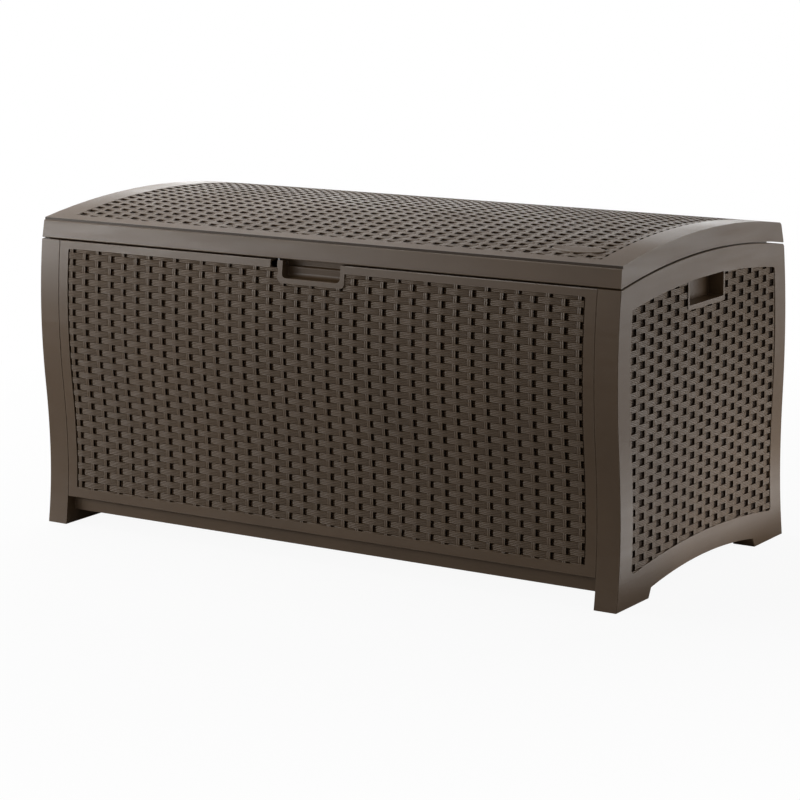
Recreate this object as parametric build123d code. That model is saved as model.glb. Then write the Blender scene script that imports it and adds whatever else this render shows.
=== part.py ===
from build123d import *
import os
from math import cos, radians, sin

# Moulded resin deck box: two end panels with corner posts and feet, a front and a rear panel between
# them, a floor, and an arched lid on three rear hinges that two slotted stays hold open.
# Millimetres. +X is right, the front faces -Y, +Z is up, and the origin is under the middle of the box.

# Overall sizes
overall_width = 1384.0
overall_height = 680.0
foot_depth = 704.0

# Walls and clearances
wall = 3.5
field_recess = 4.0
flange_depth = 20.0
joint_gap = 0.6
seat_gap = 0.3
edge_bevel = 1.2
edge_round = 1.5
overcut = 1.0

# S-shaped line of the front and rear walls: how far each station lies inside the feet
waist_height = 160.0
waist_drop = 13.5
bulge_height = 435.0
bulge_drop = 0.5
top_drop = 12.5

# Corner posts and feet
post_width = 49.0
foot_length = 126.0
foot_slope = 10.0
foot_arch_start = 19.0
foot_arch_rise = 18.0
arch_flange_width = 20.0
post_rear_round = 8.0

# End panels
end_crown_rise = 29.0
end_border = 48.0
end_field_bottom = 54.0
end_field_rise = 30.0
field_corner = 8.0
top_flange_width = 16.0
lip_height = 12.0
lip_inset = 9.0
lip_front_margin = 14.0
lip_rear_margin = 63.0

# Hand pockets in the end panels
pocket_width = 142.0
pocket_height = 48.0
pocket_depth = 33.0
pocket_drop = 66.5
pocket_frame = 5.0
pocket_sill = 9.0

# Front and rear panels
panel_bottom = 60.0
field_side_border = 24.0
field_top_border = 15.5
field_bottom_border = 20.0
panel_field_corner = 5.0

# Finger recess in the front panel
grip_width = 139.0
grip_height = 34.5
grip_frame = 10.0
grip_lower_depth = 19.0
grip_upper_depth = 26.0
grip_step_drop = 12.5
grip_corner = 9.0
grip_step_round = 2.5

# Lock notch, lock tab and shackle hole
notch_width = 17.0
notch_offset = 82.0
notch_depth = 15.5
shackle_hole = 8.6
shackle_drop = 7.5
lock_inset = 15.5
tab_thickness = 3.0
tab_height = 36.0
tab_tip = 2.6
tab_foot_length = 27.0
tab_foot_height = 16.0
tab_inner_inset = 21.0
tab_outer_inset = 8.5
tab_side_gap = 1.2
tab_boss_radius = 4.5
tab_boss_pitch = 14.0
tab_screw_length = 10.0

# Floor
deck_thickness = 3.5
skirt_bottom = 28.0
floor_rib = 2.5
floor_rib_depth = 24.0
floor_ribs_along = 3
floor_ribs_across = 6
ledge_width = 24.0
ledge_gussets = 4
ledge_screw_edge = 8.0
ledge_screws = 2
ledge_screw_pitch = 240.0

# Lid
lid_gap = 3.0
lid_side_inset = 1.0
lid_draft = 2.5
lid_front_inset = 1.0
lid_face_height = 37.0
lid_face_draft = 6.5
lid_ledge = 3.0
lid_riser = 4.5
lid_groove = 1.5
lid_rise = 28.0
lid_rear_round = 12.0
lid_side_border = 62.0
lid_front_border = 27.0
lid_field_corner = 4.0
lid_rib = 2.5
lid_rib_depth = 11.0
lid_ribs_across = 4
lid_ribs_along = 3
rest_rib_length = 13.0
rest_rib_count = 4

# Hinges
hinge_overhang = 4.5
hinge_drop = 1.0
hinge_margin = 232.0
barrel_radius = 7.5
barrel_clearance = 1.0
knuckle_length = 32.0
panel_knuckles = (-1, 1)
lid_knuckles = (0,)
knuckle_gap = 0.6
web_height = 26.0
web_sink = 1.0
pin_radius = 3.0
pin_clearance = 0.05
pin_head_radius = 4.5
pin_head_length = 2.0

# Lid stays: stud and pivot lie at the same distance from the hinge axis, so a straight slot fits
lid_open_angle = 95.0
stay_radius = 170.0
stay_pivot_rise = 8.0
stay_stud_fall = 17.0
stay_thickness = 3.0
stay_width = 18.0
stay_inset = 21.0
stay_slot_clearance = 0.2
stay_end_play = 0.3
stay_lead = 4.0
stud_radius = 3.0
stud_head_radius = 6.5
stud_head_length = 2.5
stud_boss_radius = 8.0
pivot_radius = 3.0
pivot_head_radius = 6.0
pivot_head_length = 2.0
lug_thickness = 4.0
lug_radius = 10.0
lug_root = 44.0
washer_thickness = 0.8

# Screws
screw_radius = 2.0
screw_head_radius = 4.5
screw_head_length = 2.6
screw_length = 14.0
screw_hole_clearance = 0.3
pilot_clearance = 0.05
screw_sides = 6
screw_boss_radius = 5.0
screw_boss_length = 7.0
screw_inset = 12.5
screw_fractions = (0.18, 0.55, 0.92)
floor_screw_edge = 6.5
floor_screws_across = 4
drill_length = 16.0

half_width = overall_width / 2
half_depth = foot_depth / 2
wall_top = overall_height - lid_rise - lid_riser - lid_face_height - lid_gap
post_inner = half_width - post_width
panel_half_width = post_inner - joint_gap
floor_seat = panel_bottom + wall
deck_top = floor_seat + deck_thickness
rim_half_depth = half_depth - top_drop
foot_end = half_depth - foot_length
pan_face = half_width - field_recess
lip_outer = half_width - lip_inset
ledge_inner = half_width - wall - ledge_width
ledge_screw_x = ledge_inner + ledge_screw_edge
lid_rim = wall_top + lid_gap
lid_face_top = lid_rim + lid_face_height
lid_shoulder = lid_face_top + lid_riser
lid_rim_half_depth = rim_half_depth - lid_front_inset
lid_arch_half = lid_rim_half_depth - lid_face_draft - lid_ledge
lid_half_width = half_width - lid_side_inset
lock_y = lock_inset - rim_half_depth
lock_z = wall_top - shackle_drop
tab_bottom = lock_z - shackle_hole / 2 - tab_tip
tab_top = tab_bottom + tab_height
grip_bottom = wall_top - grip_height
pocket_bottom = wall_top - pocket_drop
hinge_y = rim_half_depth + hinge_overhang
hinge_z = wall_top - hinge_drop
hinge_x = half_width - hinge_margin
hinge_places = {"left": -hinge_x, "middle": 0.0, "right": hinge_x}
knuckle_pitch = knuckle_length + knuckle_gap
pin_reach = knuckle_pitch + knuckle_length / 2

# Stay geometry: both ends of the link lie stay_radius from the hinge axis
pivot_y = hinge_y - stay_radius * cos(radians(stay_pivot_rise))
pivot_z = hinge_z + stay_radius * sin(radians(stay_pivot_rise))
stud_y = hinge_y - stay_radius * cos(radians(stay_stud_fall))
stud_z = hinge_z - stay_radius * sin(radians(stay_stud_fall))
closed_half_angle = radians(stay_pivot_rise + stay_stud_fall) / 2
open_half_angle = closed_half_angle + radians(lid_open_angle) / 2
closed_reach = 2 * stay_radius * sin(closed_half_angle)
open_reach = 2 * stay_radius * sin(open_half_angle)
stay_outer = half_width - stay_inset
stay_inner = stay_outer - stay_thickness
boss_face = stay_outer + seat_gap + washer_thickness
lug_outer = stay_inner - seat_gap
lug_inner = lug_outer - lug_thickness


def wall_line(inset):
    """S-shaped line of the front wall in the YZ plane: four tangent arcs, moved inwards by inset."""
    wall_y = inset - half_depth
    foot = Vector(0, wall_y, 0)
    waist = Vector(0, wall_y + waist_drop, waist_height)
    bulge = Vector(0, wall_y + bulge_drop, bulge_height)
    top = Vector(0, wall_y + top_drop, wall_top)
    middle = (waist + bulge) / 2
    arcs = [
        TangentArc(waist, foot, tangent=(0, 0, -1)).reversed(),
        TangentArc(waist, middle, tangent=(0, 0, 1)),
        TangentArc(bulge, middle, tangent=(0, 0, -1)).reversed(),
        TangentArc(bulge, top, tangent=(0, 0, 1)),
    ]
    return Wire(arcs)


def wall_slab(outer_inset, inner_inset, start, end):
    """Front wall between two insets, from x = start to x = end and from the floor to the wall top."""
    outer = wall_line(outer_inset)
    inner = wall_line(inner_inset)
    face = make_face([outer, Line(outer @ 1, inner @ 1), inner, Line(inner @ 0, outer @ 0)])
    return Pos(start, 0, 0) * extrude(face, amount=end - start, dir=(1, 0, 0))


def front_prism(width, bottom, top, radius=0.0):
    """Block that cuts an upright rectangle, width wide, out of the front wall."""
    centre = Plane.XZ * Pos(0, (bottom + top) / 2)
    if radius:
        outline = RectangleRounded(width, top - bottom, radius)
    else:
        outline = Rectangle(width, top - bottom)
    return extrude(centre * outline, amount=foot_depth, both=True)


def span(x_from, x_to, y_from, y_to, z_from, z_to):
    """Block between two corners."""
    size = (x_to - x_from, y_to - y_from, z_to - z_from)
    return Pos((x_from + x_to) / 2, (y_from + y_to) / 2, (z_from + z_to) / 2) * Box(*size)


def rod(radius, x_from, x_to, y, z):
    """Round bar along X."""
    bar = Cylinder(radius, x_to - x_from, rotation=(0, 90, 0))
    return Pos((x_from + x_to) / 2, y, z) * bar


def lengthwise(face, x_from, x_to):
    """Solid from a face in the YZ plane, from x_from to x_to."""
    return Pos(x_from, 0, 0) * extrude(face, amount=x_to - x_from, dir=(1, 0, 0))


def six_sided(radius, start, end):
    """Upright bar with six flats, for screws and the holes that they turn in."""
    return Pos(0, 0, start) * extrude(RegularPolygon(radius, screw_sides), end - start)


def screw_bar(radius, x_from, x_to, y, z):
    """Six-sided bar along X."""
    return Pos(0, y, z) * Rot(0, 90, 0) * six_sided(radius, x_from, x_to)


def arch_line(half_span, end_height, rise):
    """Shallow arc over the depth of the box, in the YZ plane."""
    return ThreePointArc(
        (0, -half_span, end_height),
        (0, 0, end_height + rise),
        (0, half_span, end_height),
    )


def wall_depth(inset, height):
    """Distance of the S-shaped wall line from the middle of the box at a height."""
    line = wall_line(inset)
    half = make_face([line, Polyline(line @ 1, (0, 0, wall_top), (0, 0, 0), line @ 0)])
    return (Line((0, -foot_depth, height), (0, 0, height)) & half).length


def screw_points():
    """Places of the panel screws along the front wall."""
    line = wall_line(screw_inset)
    return [line @ fraction for fraction in screw_fractions]


def deck_half_depth():
    """Half the floor's depth, clear of the sunk fields of the front and rear panels."""
    return wall_depth(field_recess + wall + joint_gap, floor_seat)


def floor_screw_row():
    """Places of the screws along the floor's front edge."""
    row = GridLocations(2 * panel_half_width / floor_screws_across, 0, floor_screws_across, 1)
    return [Pos(0, floor_screw_edge - deck_half_depth(), floor_seat) * place for place in row]


def ledge_screw_row():
    """Places of the screws along the floor's right end."""
    row = GridLocations(0, ledge_screw_pitch, 1, ledge_screws)
    return [Pos(ledge_screw_x, 0, floor_seat) * place for place in row]


def drilled(radius, places):
    """Upright screw holes at the given places."""
    drill = six_sided(radius, -drill_length / 2, drill_length / 2)
    return [place * drill for place in places]


def skin_rim(block):
    """Edges round the outer skin of a block that was cut from the front wall."""
    skin = block.faces().sort_by(Axis.Y)[: len(wall_line(0).edges())]
    ends = [edge for face in skin for edge in face.edges() if abs(edge.center().X) > overcut]
    heights = (panel_bottom + overcut, wall_top - overcut)
    level = [edge for face in skin for edge in face.edges() if abs(edge.center().X) < overcut]
    return ends + [edge for edge in level if not heights[0] < edge.center().Z < heights[1]]


def panel_tray():
    """Front wall panel: a skin with flanges all round and a sunk field for the weave."""
    width = 2 * panel_half_width
    tray = wall_slab(0, flange_depth, -panel_half_width, panel_half_width)
    tray &= front_prism(overall_width, panel_bottom, wall_top)
    tray = chamfer(skin_rim(tray), edge_bevel)
    hollow = wall_slab(wall, flange_depth + overcut, -half_width, half_width)
    tray -= hollow & front_prism(width - 2 * wall, panel_bottom + wall, wall_top - wall)
    field_width = width - 2 * field_side_border
    field_bottom = panel_bottom + field_bottom_border
    field_top = wall_top - field_top_border
    pan = wall_slab(wall / 2, field_recess + wall, -half_width, half_width)
    pan &= front_prism(field_width + 2 * wall, field_bottom - wall, field_top + wall)
    field = wall_slab(-overcut, field_recess, -half_width, half_width)
    field &= front_prism(field_width, field_bottom, field_top, panel_field_corner)
    tray = tray + pan - field
    hole_radius = screw_radius + screw_hole_clearance
    tray -= [screw_bar(hole_radius, -half_width, half_width, point.Y, point.Z) for point in screw_points()]
    return tray - drilled(screw_radius + pilot_clearance, floor_screw_row())


def grip_cavity():
    """Space for the fingers: a lower wall that steps back to a deeper upper wall, open at the top."""
    front = -half_depth - overcut
    lower = grip_lower_depth - rim_half_depth
    upper = grip_upper_depth - rim_half_depth
    step = wall_top - grip_step_drop
    top = wall_top + overcut
    profile = FilletPolyline(
        (0, front, top),
        (0, front, grip_bottom),
        (0, lower, grip_bottom),
        (0, lower, step),
        (0, upper, step),
        (0, upper, top),
        radius=[grip_step_round, grip_corner, grip_step_round, grip_step_round],
    )
    face = make_face([profile, Line(profile @ 1, profile @ 0)])
    cavity = lengthwise(face, -grip_width / 2, grip_width / 2)
    return cavity & front_prism(grip_width, grip_bottom, top + grip_corner, grip_corner)


def front_panel():
    """Front panel with the finger recess, the lock notch and the hole for a padlock's shackle."""
    frame_width = grip_width + 2 * grip_frame
    block = wall_slab(0, grip_upper_depth + wall, -half_width, half_width)
    block &= front_prism(frame_width, grip_bottom - grip_frame, wall_top + grip_corner, grip_corner)
    panel = panel_tray() + block - grip_cavity()
    panel -= span(
        -notch_offset - notch_width,
        -notch_offset,
        -half_depth,
        flange_depth + overcut - rim_half_depth,
        wall_top - notch_depth,
        wall_top + overcut,
    )
    return panel - rod(shackle_hole / 2, -notch_offset - overcut, 0, lock_y, lock_z)


def knuckle_face(web_end_y, web_end_z):
    """Hinge barrel section with a tapering web that runs into the wall of the part that carries it."""
    barrel = Plane.YZ * Pos(hinge_y, hinge_z) * Circle(barrel_radius)
    web = Polyline(
        (0, hinge_y + barrel_radius, hinge_z),
        (0, web_end_y - web_sink, web_end_z),
        (0, web_end_y - wall + web_sink, web_end_z),
        (0, hinge_y - barrel_radius, hinge_z),
        close=True,
    )
    return barrel + make_face(web)


def knuckle_spans(steps):
    """X ranges of the knuckles that stand the given steps from the middle of each hinge."""
    centres = [place + knuckle_pitch * step for place in hinge_places.values() for step in steps]
    return [(centre - knuckle_length / 2, centre + knuckle_length / 2) for centre in centres]


def hinge_notch(radius, x_from, x_to):
    """Square clearance about the hinge axis."""
    return span(x_from, x_to, hinge_y - radius, hinge_y + radius, hinge_z - radius, hinge_z + radius)


def hinge_cuts(steps):
    """Notches for the knuckles of the other part."""
    radius = barrel_radius + barrel_clearance
    spans = knuckle_spans(steps)
    return [hinge_notch(radius, left - knuckle_gap, right + knuckle_gap) for left, right in spans]


def hinge_knuckles(steps, face):
    """Bored knuckles on one side of the hinges."""
    bore = rod(pin_radius + pin_clearance, -half_width, half_width, hinge_y, hinge_z)
    return [lengthwise(face, left, right) - bore for left, right in knuckle_spans(steps)]


def rear_panel():
    """Rear panel: the front panel's tray turned round, with three sets of hinge knuckles."""
    web_z = hinge_z - web_height
    wall_y = wall_depth(0, web_z)
    panel = mirror(panel_tray(), Plane.XZ) - hinge_cuts(lid_knuckles)
    for place in hinge_places.values():
        end = place + pin_reach
        pocket_end = end + pin_head_length + knuckle_gap
        panel -= hinge_notch(pin_head_radius + knuckle_gap, end, pocket_end)
    return panel + hinge_knuckles(panel_knuckles, knuckle_face(wall_y, web_z))


def hinge_pin(place):
    """Headed steel pin through the three knuckles of one hinge."""
    end = place + pin_reach
    shank = rod(pin_radius, place - pin_reach, end, hinge_y, hinge_z)
    return shank + rod(pin_head_radius, end, end + pin_head_length, hinge_y, hinge_z)


def end_outline():
    """Outline of an end panel in the YZ plane: S-shaped edges, crowned top, feet and bottom arch."""
    front = wall_line(0)
    rear = mirror(front, Plane.XZ)
    arch = arch_line(foot_end - foot_slope, foot_arch_start, foot_arch_rise)
    feet = Polyline(front @ 0, (0, -foot_end, 0), arch @ 0), Polyline(arch @ 1, (0, foot_end, 0), rear @ 0)
    face = make_face([front, arch_line(rim_half_depth, wall_top, end_crown_rise), rear, arch, *feet])
    return fillet(face.vertices().sort_by_distance((0, rim_half_depth, wall_top))[0], post_rear_round)


def end_field(grow):
    """Sunk field of an end panel in the YZ plane with square corners, wider by grow on every side."""
    front = wall_line(end_border - grow)
    rear = mirror(front, Plane.XZ)
    upright = make_face([front, Line(front @ 1, rear @ 1), rear, Line(rear @ 0, front @ 0)])
    top = arch_line(rim_half_depth, wall_top - end_border + grow, end_crown_rise)
    bottom = arch_line(rim_half_depth, end_field_bottom - grow, end_field_rise)
    band = make_face([top, bottom, Line(top @ 0, bottom @ 0), Line(top @ 1, bottom @ 1)])
    return upright & band


def inner_space(block):
    """What is left of an upright block when a wall's thickness is taken off all round its outline."""
    space = Pos(0, wall, 0) * block & Pos(0, -wall, 0) * block
    return space & Pos(0, 0, wall) * block & Pos(0, 0, -wall) * block


def right_end_panel():
    """End panel with its two corner posts and feet, a floor ledge, a hand pocket and a rain lip."""
    outline = end_outline()
    panel = lengthwise(outline, 0, post_width)
    panel = Pos(post_inner, 0, 0) * chamfer(panel.faces().sort_by(Axis.X)[-1].edges(), edge_bevel)
    panel -= inner_space(lengthwise(outline, post_inner - overcut, half_width - wall))
    inside = rim_half_depth - flange_depth
    top_inner = half_width - top_flange_width
    panel -= span(post_inner - overcut, top_inner, -inside, inside, floor_seat, overall_height)
    arch_half = foot_end - foot_slope
    arch_inner = half_width - arch_flange_width
    panel -= span(post_inner - overcut, arch_inner, -arch_half, arch_half, -overcut, floor_seat)
    panel += post_linings(outline)
    panel += end_ledge()
    panel += lengthwise(end_field(wall), pan_face - wall, half_width - wall / 2)
    field = end_field(0)
    corners = field.vertices().sort_by(Axis.Z)
    field = fillet(corners[:2] + corners[-2:], field_corner)
    panel -= lengthwise(field, pan_face, half_width + overcut)
    panel += rain_lip()
    panel += screw_bar(stud_boss_radius, boss_face, pan_face - wall / 2, stud_y, stud_z)
    panel -= rod(stud_radius + pin_clearance, boss_face - overcut, pan_face - wall, stud_y, stud_z)
    return with_hand_pocket(panel)


def post_linings(outline):
    """Inner faces of the posts and feet, with bosses for the screws of the neighbouring panels."""
    plate = lengthwise(outline, post_inner, post_inner + wall)
    arch_half = foot_end - foot_slope
    keep = wall_slab(0, flange_depth, post_inner, post_inner + wall)
    keep += span(post_inner, post_inner + wall, -half_depth, -arch_half, 0, floor_seat)
    lining = plate & keep
    lining += span(post_inner, half_width - wall, -arch_half - wall, -arch_half, foot_arch_start, floor_seat)
    boss_end = post_inner + wall + screw_boss_length
    points = screw_points()
    lining += [screw_bar(screw_boss_radius, post_inner, boss_end, point.Y, point.Z) for point in points]
    pilot = screw_radius + pilot_clearance
    lining -= [screw_bar(pilot, 0, half_width - wall, point.Y, point.Z) for point in points]
    return lining + mirror(lining, Plane.XZ)


def end_ledge():
    """Shelf that carries the end of the floor, on gussets that stand on the bottom arch."""
    arch_half = foot_end - foot_slope
    shelf = span(ledge_inner, half_width - wall, -arch_half, arch_half, panel_bottom, floor_seat)
    shelf -= drilled(screw_radius + pilot_clearance, ledge_screw_row())
    pitch = 2 * arch_half / (ledge_gussets + 1)
    gusset_height = panel_bottom - foot_arch_start - foot_arch_rise
    gusset = Box(arch_flange_width - wall, floor_rib, gusset_height)
    centre = Pos(half_width - (arch_flange_width + wall) / 2, 0, panel_bottom - gusset_height / 2)
    return shelf + [centre * place * gusset for place in GridLocations(0, pitch, 1, ledge_gussets)]


def rain_lip():
    """Upright lip inside the lid's rim. It follows the crown and stops short of the hinges."""
    crown = arch_line(rim_half_depth, wall_top - wall, end_crown_rise)
    ridge = arch_line(rim_half_depth, wall_top + lip_height, end_crown_rise)
    face = make_face([crown, ridge, Line(crown @ 0, ridge @ 0), Line(crown @ 1, ridge @ 1)])
    lip = lengthwise(face, lip_outer - wall, lip_outer)
    front = lip_front_margin - rim_half_depth
    return lip & span(0, half_width, front, rim_half_depth - lip_rear_margin, 0, overall_height)


def with_hand_pocket(panel):
    """Adds the closed pocket for one hand, with a flat frame at its sides and a sill below."""
    half = pocket_width / 2
    top = pocket_bottom + pocket_height
    back = half_width - pocket_depth
    panel += span(
        pan_face - wall,
        half_width,
        -half - pocket_frame,
        half + pocket_frame,
        pocket_bottom - pocket_sill,
        top + wall,
    )
    panel += span(
        back - wall, half_width - wall, -half - wall, half + wall, pocket_bottom - wall, top + wall
    )
    return panel - span(back, half_width + overcut, -half, half, pocket_bottom, top)


def floor_panel():
    """Floor: a deck notched round the panel joints, ribs below it and a skirt along each long side."""
    deck_x = pan_face - wall - joint_gap
    deck_y = deck_half_depth()
    skirt_y = wall_depth(flange_depth + joint_gap, deck_top)
    deck = span(-deck_x, deck_x, -deck_y, deck_y, floor_seat, deck_top)
    notch_start = panel_half_width - wall - joint_gap
    notch_end = post_inner + wall + joint_gap
    notch = span(notch_start, notch_end, -half_depth, -skirt_y, panel_bottom, wall_top)
    notch += mirror(notch, Plane.XZ)
    deck -= notch + mirror(notch, Plane.YZ)
    skirt_end = post_inner - joint_gap
    skirt = span(-skirt_end, skirt_end, -skirt_y, wall - skirt_y, skirt_bottom, floor_seat)
    floor = deck + skirt + mirror(skirt, Plane.XZ)
    rib_middle = Pos(0, 0, floor_seat - floor_rib_depth / 2)
    across = rib_middle * Box(floor_rib, 2 * skirt_y - wall, floor_rib_depth)
    along = rib_middle * Box(2 * skirt_end, floor_rib, floor_rib_depth)
    across_pitch = (2 * skirt_end - floor_rib) / (floor_ribs_across - 1)
    along_pitch = 2 * skirt_y / (floor_ribs_along + 1)
    floor += [place * across for place in GridLocations(across_pitch, 0, floor_ribs_across, 1)]
    floor += [place * along for place in GridLocations(0, along_pitch, 1, floor_ribs_along)]
    sides = drilled(screw_radius + screw_hole_clearance, floor_screw_row())
    ends = drilled(screw_radius + screw_hole_clearance, ledge_screw_row())
    return floor - sides - ends - [mirror(hole, Plane.XZ) for hole in sides] - [
        mirror(hole, Plane.YZ) for hole in ends
    ]


def lid_outline():
    """Section across the lid: arched top, a step with a groove in front, a rounded rear corner."""
    arch = arch_line(lid_arch_half, lid_shoulder, lid_rise)
    rim = arch_line(lid_rim_half_depth, lid_rim, end_crown_rise)
    groove = (0, -lid_arch_half, lid_face_top - lid_groove)
    ledge = (0, -lid_arch_half - lid_ledge, lid_face_top)
    front = Polyline(arch @ 0, groove, ledge, rim @ 0)
    face = make_face([arch, front, rim, Line(rim @ 1, arch @ 1)])
    edges = [vertex for vertex in face.vertices() if abs(vertex.Y) > lid_arch_half + lid_ledge / 2]
    face = fillet(edges, edge_round)
    return fillet(face.vertices().sort_by_distance((0, lid_arch_half, lid_shoulder))[0], lid_rear_round)


def lid_ends(inset):
    """Block with the draft of the lid's two end faces, moved inwards by inset."""
    foot = lid_half_width - inset
    top = foot - lid_draft
    height = overall_height + overcut
    outline = Polyline((-foot, lid_rim), (foot, lid_rim), (foot, wall_top), (-foot, wall_top), close=True)
    taper = Polyline((-foot, lid_rim), (foot, lid_rim), (top, height), (-top, height), close=True)
    face = Plane.XZ * (make_face(outline) + make_face(taper))
    return extrude(face, amount=foot_depth, both=True)


def lid_cavity():
    """Space under the lid's skin, down from the pan of the sunk field."""
    rim = lid_rim_half_depth - wall
    arch = arch_line(lid_arch_half - wall, lid_shoulder - field_recess - wall, lid_rise)
    sides = Polyline(
        arch @ 0,
        (0, lid_face_draft - rim, lid_face_top - wall),
        (0, -rim, lid_rim),
        (0, -rim, wall_top),
        (0, rim, wall_top),
        (0, rim, lid_rim),
        arch @ 1,
    )
    return lengthwise(make_face([arch, sides]), -half_width, half_width) & lid_ends(wall)


def lid_layer(upper_drop, lower_drop):
    """Slab under the lid's arched top, between two depths below it."""
    half = lid_arch_half + lid_ledge
    upper = arch_line(half, lid_shoulder - upper_drop, lid_rise)
    lower = arch_line(half, lid_shoulder - lower_drop, lid_rise)
    face = make_face([upper, lower, Line(upper @ 0, lower @ 0), Line(upper @ 1, lower @ 1)])
    return lengthwise(face, -half_width, half_width)


def lid_field():
    """Upright block over the lid's sunk field."""
    width = 2 * (lid_half_width - lid_side_border)
    depth = 2 * (lid_arch_half - lid_front_border)
    return extrude(RectangleRounded(width, depth, lid_field_corner), overall_height + overcut)


def lid_ribs():
    """Grid of ribs under the pan, following the arch."""
    layer = lid_layer(field_recess + wall / 2, field_recess + wall + lid_rib_depth)
    field_width = 2 * (lid_half_width - lid_side_border)
    field_depth = 2 * (lid_arch_half - lid_front_border)
    across = Pos(0, 0, lid_shoulder) * Box(lid_rib, foot_depth, 2 * lid_rise)
    along = Pos(0, 0, lid_shoulder) * Box(field_width, lid_rib, 2 * lid_rise)
    across_pitch = field_width / (lid_ribs_across + 1)
    along_pitch = field_depth / (lid_ribs_along + 1)
    grid = [place * across for place in GridLocations(across_pitch, 0, lid_ribs_across, 1)]
    grid += [place * along for place in GridLocations(0, along_pitch, 1, lid_ribs_along)]
    return [layer & rib for rib in grid]


def rest_ribs():
    """Gussets behind the lid's front face that stand on the front panel's rim when the lid is shut."""
    bottom = wall_top + seat_gap
    outer = wall / 2 - lid_rim_half_depth
    inner = outer + rest_rib_length
    profile = Polyline(
        (0, outer, lid_rim),
        (0, outer + wall, bottom),
        (0, inner, bottom),
        (0, inner, lid_face_top),
        (0, outer + lid_face_draft, lid_face_top),
        close=True,
    )
    rib = lengthwise(make_face(profile), -lid_rib / 2, lid_rib / 2)
    return [place * rib for place in GridLocations(overall_width / rest_rib_count, 0, rest_rib_count, 1)]


def stay_lug():
    """Lug under the right end of the lid that carries the pivot of a stay."""
    root = lug_root / 2
    plate = Polyline(
        (0, pivot_y - root, overall_height),
        (0, pivot_y + root, overall_height),
        (0, pivot_y + lug_radius, pivot_z),
        (0, pivot_y - lug_radius, pivot_z),
        close=True,
    )
    centre = Plane.YZ * Pos(pivot_y, pivot_z)
    face = make_face(plate) + centre * Circle(lug_radius) - centre * Circle(pivot_radius + pin_clearance)
    return lengthwise(face, lug_inner, lug_outer) - lid_layer(-lid_rise, wall / 2)


def tab_boss_points():
    """X places of the two bosses that carry the lock tab."""
    middle = -notch_offset - tab_side_gap - (tab_foot_length + tab_thickness) / 2
    return [middle - tab_boss_pitch / 2, middle + tab_boss_pitch / 2]


def tab_bosses():
    """Bosses on the inside of the lid's front face for the lock tab's screws."""
    start = (wall + lid_face_draft) / 3 - lid_rim_half_depth
    end = tab_inner_inset - tab_thickness - rim_half_depth
    boss = lock_bar(tab_boss_radius, start, end) - lock_bar(screw_radius + pilot_clearance, start + wall, end)
    return [Pos(place, 0, 0) * boss for place in tab_boss_points()]


def lock_bar(radius, y_from, y_to):
    """Six-sided bar along Y at the height of the lock tab's screws."""
    return Pos(0, 0, tab_top - tab_foot_height / 2) * Rot(-90, 0, 0) * six_sided(radius, y_from, y_to)


def lid_shell():
    """Lid moulding: arched skin with a sunk field, rim faces, ribs, lugs, bosses and hinge knuckles."""
    outer = lengthwise(lid_outline(), -half_width, half_width) & lid_ends(0)
    shell = outer - lid_cavity()
    inner_y = lid_arch_half - wall
    border = Pos(0, 0, field_recess) * lid_cavity()
    border &= span(-half_width, half_width, -inner_y, inner_y, wall_top, overall_height)
    pan_x = lid_half_width - lid_side_border + wall
    pan_y = lid_arch_half - lid_front_border + wall
    shell -= border - span(-pan_x, pan_x, -pan_y, pan_y, wall_top, overall_height)
    shell += [rib & outer for rib in lid_ribs()]
    lug = stay_lug()
    shell += [lug, mirror(lug, Plane.YZ)] + rest_ribs() + tab_bosses()
    shell -= lid_layer(-overcut, field_recess) & lid_field()
    shell -= hinge_cuts(panel_knuckles)
    web_z = hinge_z + web_height
    web_y = lid_rim_half_depth - lid_face_draft * (web_z - lid_rim) / (lid_face_top - lid_rim)
    return shell + hinge_knuckles(lid_knuckles, knuckle_face(web_y, web_z))


def lock_tab():
    """Steel angle behind the lid's front face. Its blade stands in the lock notch when shut."""
    right = -notch_offset - tab_side_gap
    front = tab_outer_inset - rim_half_depth
    rear = tab_inner_inset - rim_half_depth
    blade = span(right - tab_thickness, right, front, rear, tab_bottom, tab_top)
    blade -= rod(shackle_hole / 2, right - tab_thickness - overcut, right + overcut, lock_y, lock_z)
    foot_bottom = tab_top - tab_foot_height
    foot = span(right - tab_foot_length, right, rear - tab_thickness, rear, foot_bottom, tab_top)
    hole = lock_bar(screw_radius + screw_hole_clearance, rear - tab_thickness - overcut, rear + overcut)
    return blade + foot - [Pos(place, 0, 0) * hole for place in tab_boss_points()]


def lock_tab_screws():
    """The two screws of the lock tab."""
    seat = tab_inner_inset - rim_half_depth
    screw = lock_bar(screw_radius, seat - tab_screw_length, seat)
    screw += lock_bar(screw_head_radius, seat, seat + screw_head_length)
    return [Pos(place, 0, 0) * screw for place in tab_boss_points()]


def panel_screws():
    """Screws along both edges of the front panel, from its side flanges into the posts."""
    seat = panel_half_width - wall
    screws = []
    for point in screw_points():
        shank = screw_bar(screw_radius, seat, seat + screw_length, point.Y, point.Z)
        head = screw_bar(screw_head_radius, seat - screw_head_length, seat, point.Y, point.Z)
        screws.append(shank + head)
    return screws + [mirror(screw, Plane.YZ) for screw in screws]


def floor_screws():
    """Upright screws along the four edges of the floor."""
    screw = six_sided(screw_radius, panel_bottom - floor_seat, deck_thickness)
    screw += six_sided(screw_head_radius, deck_thickness, deck_thickness + screw_head_length)
    front = [place * screw for place in floor_screw_row()]
    right = [place * screw for place in ledge_screw_row()]
    rear = [mirror(each, Plane.XZ) for each in front]
    return front + rear + right + [mirror(each, Plane.YZ) for each in right]


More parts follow.
